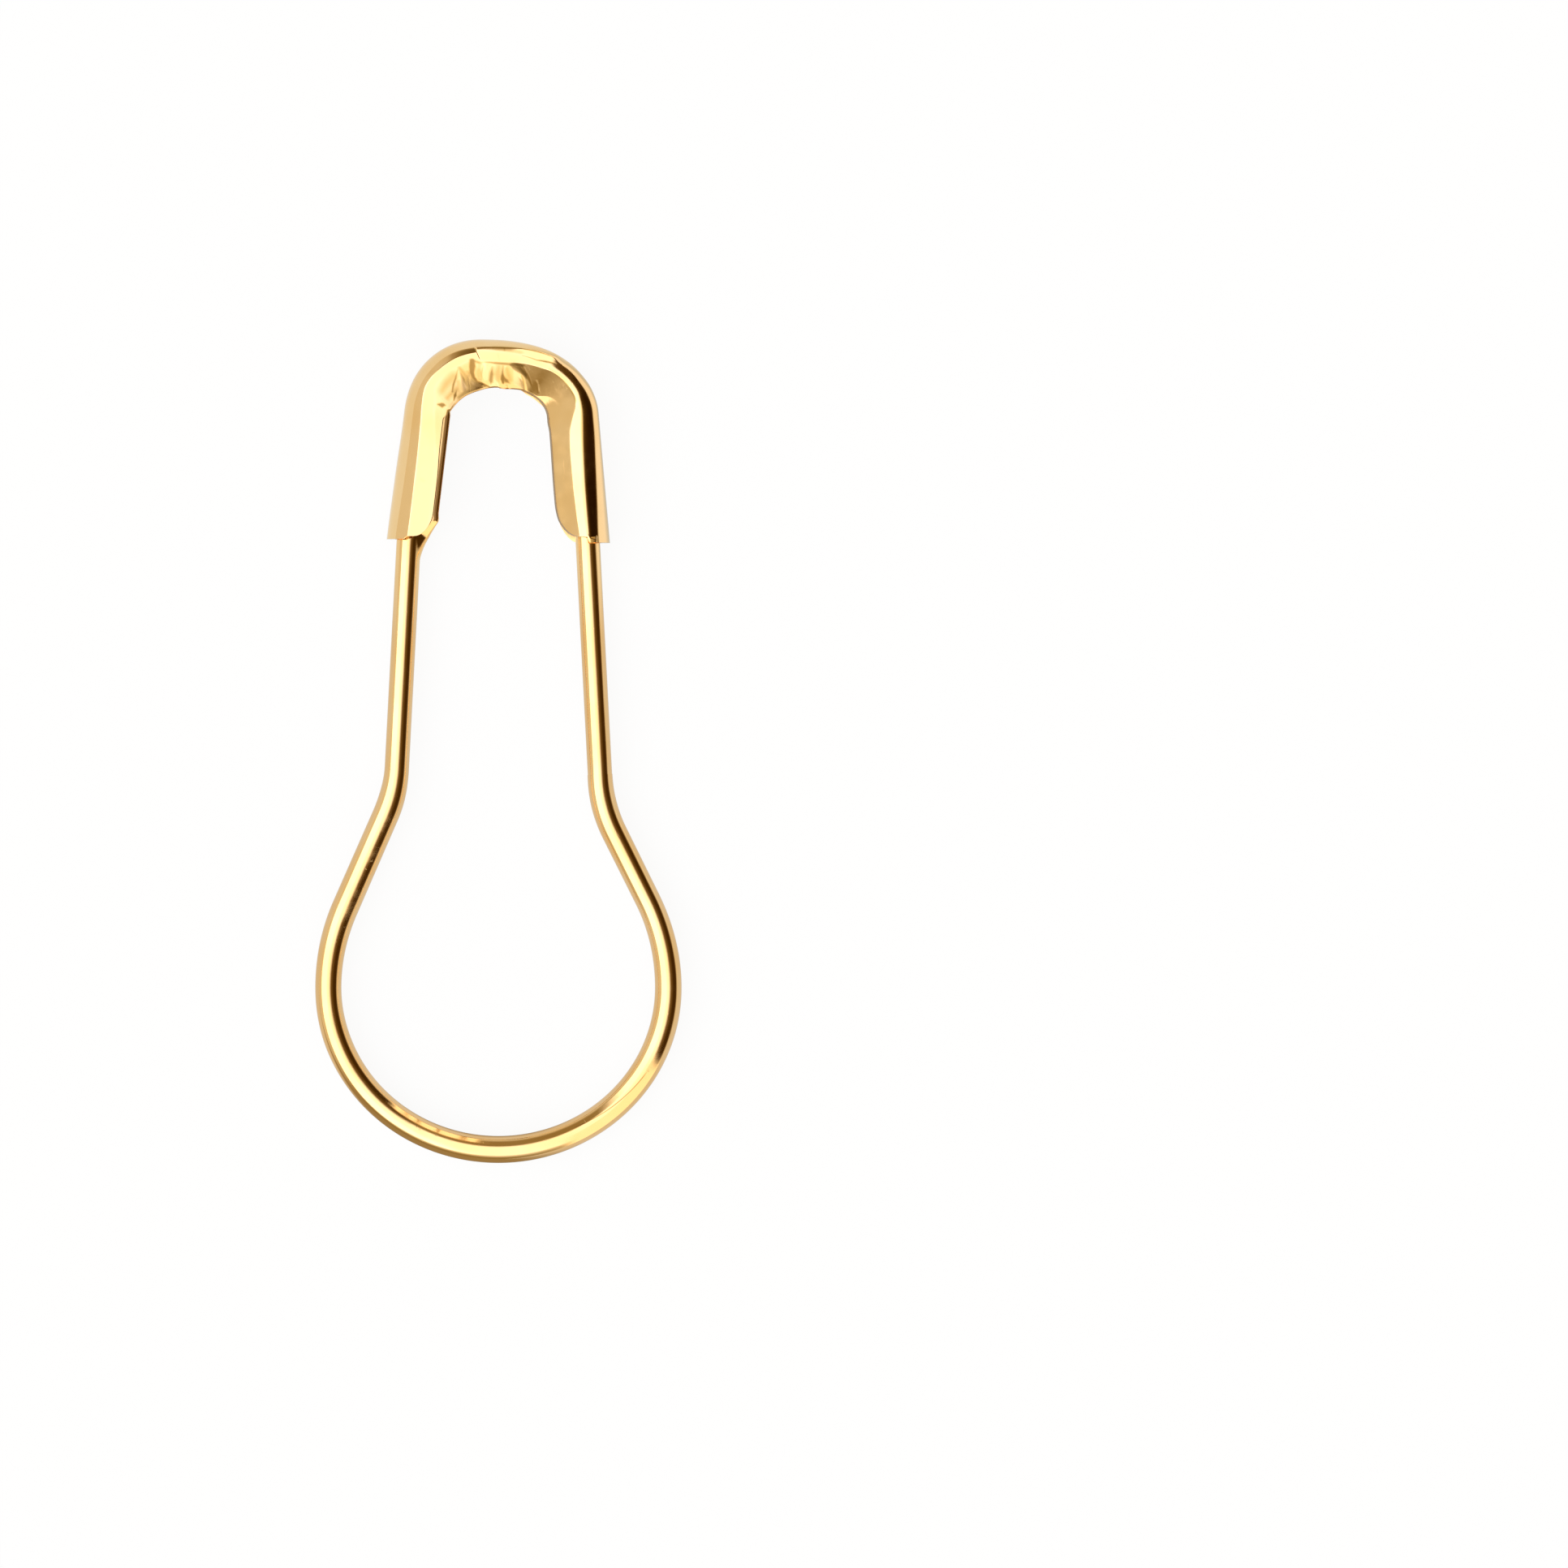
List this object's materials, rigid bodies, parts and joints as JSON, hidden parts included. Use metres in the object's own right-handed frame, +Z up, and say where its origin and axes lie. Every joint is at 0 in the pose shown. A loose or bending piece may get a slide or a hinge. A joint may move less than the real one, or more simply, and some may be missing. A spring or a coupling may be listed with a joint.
{
  "type": "stitch marker",
  "caption": "Pear-shaped bulb pin used as a knitting stitch marker: a bent spring wire whose pointed arm latches in a folded sheet cap.",
  "frame": {"origin": "centre of the bounding box in X and Y, on the surface that the pin lies on", "axes": "+Y from the bulb to the cap, +Z up through the thickness, +X towards the moving arm"},
  "size_m": [0.0098, 0.022, 0.0015],
  "materials": {
    "gold_sheet": "bright gold plate on stamped sheet, with pleats where the fold is gathered",
    "gold_wire": "bright gold plate on drawn spring wire"
  },
  "bodies": {
    "pin_frame": {"cap": "gold_sheet", "spring_wire": "gold_wire"},
    "arm_heading": {"arm_root": "gold_wire"},
    "moving_arm": {"pin_arm": "gold_wire"}
  },
  "joints": [
    {"name": "arm_turn", "type": "hinge", "parent": "pin_frame", "child": "arm_heading", "pos_m": [0.00267, 0.0001, 0.00059], "axis": [-0.0523, 0.9986, 0], "range_deg": [-180, 180]},
    {"name": "arm_swing", "type": "hinge", "parent": "arm_heading", "child": "moving_arm", "pos_m": [0.00267, 0.0001, 0.00059], "axis": [0, 0, 1], "range_deg": [0, 18], "stiffness_Nm_per_rad": 0.03}
  ]
}
